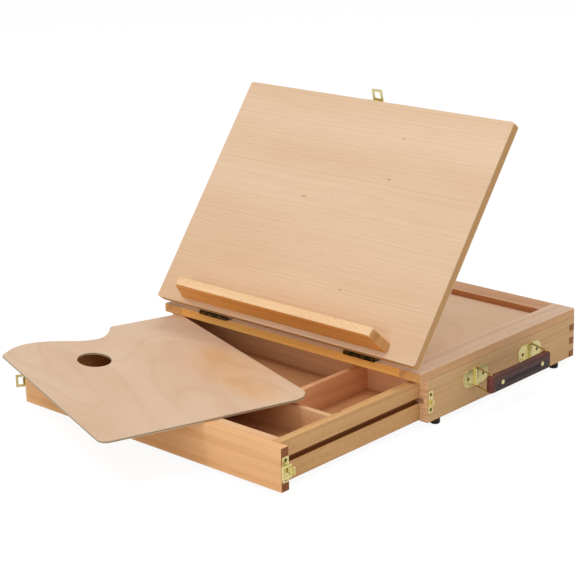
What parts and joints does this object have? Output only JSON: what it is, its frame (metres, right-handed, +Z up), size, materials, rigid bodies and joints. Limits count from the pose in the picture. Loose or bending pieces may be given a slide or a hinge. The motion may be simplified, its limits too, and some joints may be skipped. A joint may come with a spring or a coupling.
{
  "type": "pochade box",
  "caption": "Wooden pochade box with its drawer pulled out, the drawing board raised on a folding prop, a loose palette laid across the drawer and a leather carrying handle.",
  "frame": {"origin": "centre of the case's footprint, on the plane the rubber feet stand on", "axes": "+X to the painter's right, +Y from the drawer's side to the back of the case, +Z up"},
  "size_m": [0.4773, 0.6297, 0.33],
  "materials": {
    "beech_case": "oiled beech, satin",
    "beech_drawer": "oiled beech, satin",
    "board_veneer": "sanded, fine straight grain",
    "beech_ply": "thin plywood, matte",
    "palette_ply": "thin plywood, oiled",
    "latch_brass": "pale plated brass, bright",
    "hinge_bronze": "dark aged brass, dull",
    "nail_steel": "plain steel nail",
    "rubber_black": "matte",
    "leather_burgundy": "smooth, stitched"
  },
  "bodies": {
    "case": {"case_side_right": "beech_case", "case_side_left": "beech_case", "case_back": "beech_case", "frame_rail_front": "beech_case", "frame_rail_rear": "beech_case", "frame_rail_right": "beech_case", "frame_rail_left": "beech_case", "top_panel": "beech_ply", "runner_right": "beech_case", "runner_left": "beech_case", "rubber_feet": "rubber_black", "foot_nails": "nail_steel", "rack_right": "beech_case", "rack_left": "beech_case", "hinge_leaves_case": "hinge_bronze", "hinge_pins": "hinge_bronze", "catch_plates_side": "latch_brass", "catch_plate_rear": "latch_brass", "case_screws": "latch_brass", "handle_plates": "latch_brass"},
    "board": {"drawing_board": "board_veneer", "canvas_ledge": "beech_case", "hinge_leaves_board": "hinge_bronze", "prop_leaves_board": "latch_brass", "prop_hinge_pins": "latch_brass", "board_screws": "latch_brass", "latch_base_board": "latch_brass"},
    "prop": {"prop_leg_right": "beech_case", "prop_leg_left": "beech_case", "prop_top_bar": "beech_case", "prop_foot_bar": "latch_brass", "prop_leaves": "latch_brass", "prop_screws": "latch_brass"},
    "drawer": {"drawer_front": "beech_drawer", "drawer_inner_front": "beech_drawer", "drawer_back": "beech_drawer", "drawer_side_right": "beech_drawer", "drawer_side_left": "beech_drawer", "drawer_floor": "beech_ply", "divider_cross": "beech_drawer", "divider_long": "beech_drawer", "drawer_screws": "latch_brass", "latch_base_right": "latch_brass", "latch_base_left": "latch_brass"},
    "palette": {"palette": "palette_ply"},
    "ring_front": {"handle_ring_front": "latch_brass"},
    "ring_rear": {"handle_ring_rear": "latch_brass"},
    "grip": {"handle_grip": "leather_burgundy", "handle_rivets": "latch_brass"},
    "lever_right": {"latch_lever_right": "latch_brass"},
    "bail_right": {"latch_bail_right": "latch_brass"},
    "lever_left": {"latch_lever_left": "latch_brass"},
    "bail_left": {"latch_bail_left": "latch_brass"},
    "lever_board": {"latch_lever_board": "latch_brass"},
    "bail_board": {"latch_bail_board": "latch_brass"}
  },
  "joints": [
    {"name": "board_hinge", "type": "hinge", "parent": "case", "child": "board", "pos_m": [0, -0.15, 0.07], "axis": [1, 0, 0], "range_deg": [-53.2, 22]},
    {"name": "prop_fold", "type": "hinge", "parent": "board", "child": "prop", "pos_m": [0, -0.07592, 0.16819], "axis": [1, 0, 0], "range_deg": [-44, 106.4]},
    {"name": "drawer_slide", "type": "slide", "parent": "case", "child": "drawer", "axis": [0, -1, 0], "range_m": [-0.2236, 0.012]},
    {"name": "palette_lift", "type": "slide", "parent": "case", "child": "palette", "axis": [0, -0.8, 0.6], "range_m": [0, 0.25]},
    {"name": "handle_swing", "type": "hinge", "parent": "case", "child": "ring_front", "pos_m": [0.2023, -0.05, 0.038], "axis": [0, 0, 1], "range_deg": [-53, 93]},
    {"name": "handle_rear_ring", "type": "hinge", "parent": "case", "child": "ring_rear", "pos_m": [0.2023, 0.055, 0.038], "axis": [0, 0, 1], "range_deg": [-53, 93]},
    {"name": "handle_grip_pivot", "type": "hinge", "parent": "ring_front", "child": "grip", "pos_m": [0.23002, -0.06009, 0.038], "axis": [0, 0, 1], "range_deg": [-93, 53]},
    {"name": "latch_lever_right", "type": "hinge", "parent": "drawer", "child": "lever_right", "pos_m": [0.2026, -0.36255, 0.0293], "axis": [0, 0, 1], "range_deg": [-75, 0]},
    {"name": "latch_bail_right", "type": "hinge", "parent": "lever_right", "child": "bail_right", "pos_m": [0.20579, -0.3634, 0.0293], "axis": [0, 0, 1], "range_deg": [0, 75]},
    {"name": "latch_lever_left", "type": "hinge", "parent": "drawer", "child": "lever_left", "pos_m": [-0.2026, -0.36255, 0.0293], "axis": [0, 0, -1], "range_deg": [0, 75]},
    {"name": "latch_bail_left", "type": "hinge", "parent": "lever_left", "child": "bail_left", "pos_m": [-0.2026, -0.36585, 0.0293], "axis": [0, 0, -1], "range_deg": [-30, 60]},
    {"name": "latch_lever_board", "type": "hinge", "parent": "board", "child": "lever_board", "pos_m": [0, 0.02638, 0.31345], "axis": [-1, 0, 0], "range_deg": [0, 75]},
    {"name": "latch_bail_board", "type": "hinge", "parent": "lever_board", "child": "bail_board", "pos_m": [0, 0.02374, 0.31543], "axis": [-1, 0, 0], "range_deg": [-40, 50]}
  ],
  "couplings": [
    {"joint": "prop_fold", "follows": "board_hinge", "ratio": -2},
    {"joint": "handle_rear_ring", "follows": "handle_swing", "ratio": 1},
    {"joint": "handle_grip_pivot", "follows": "handle_swing", "ratio": -1},
    {"joint": "latch_bail_right", "follows": "latch_lever_right", "ratio": -1}
  ]
}
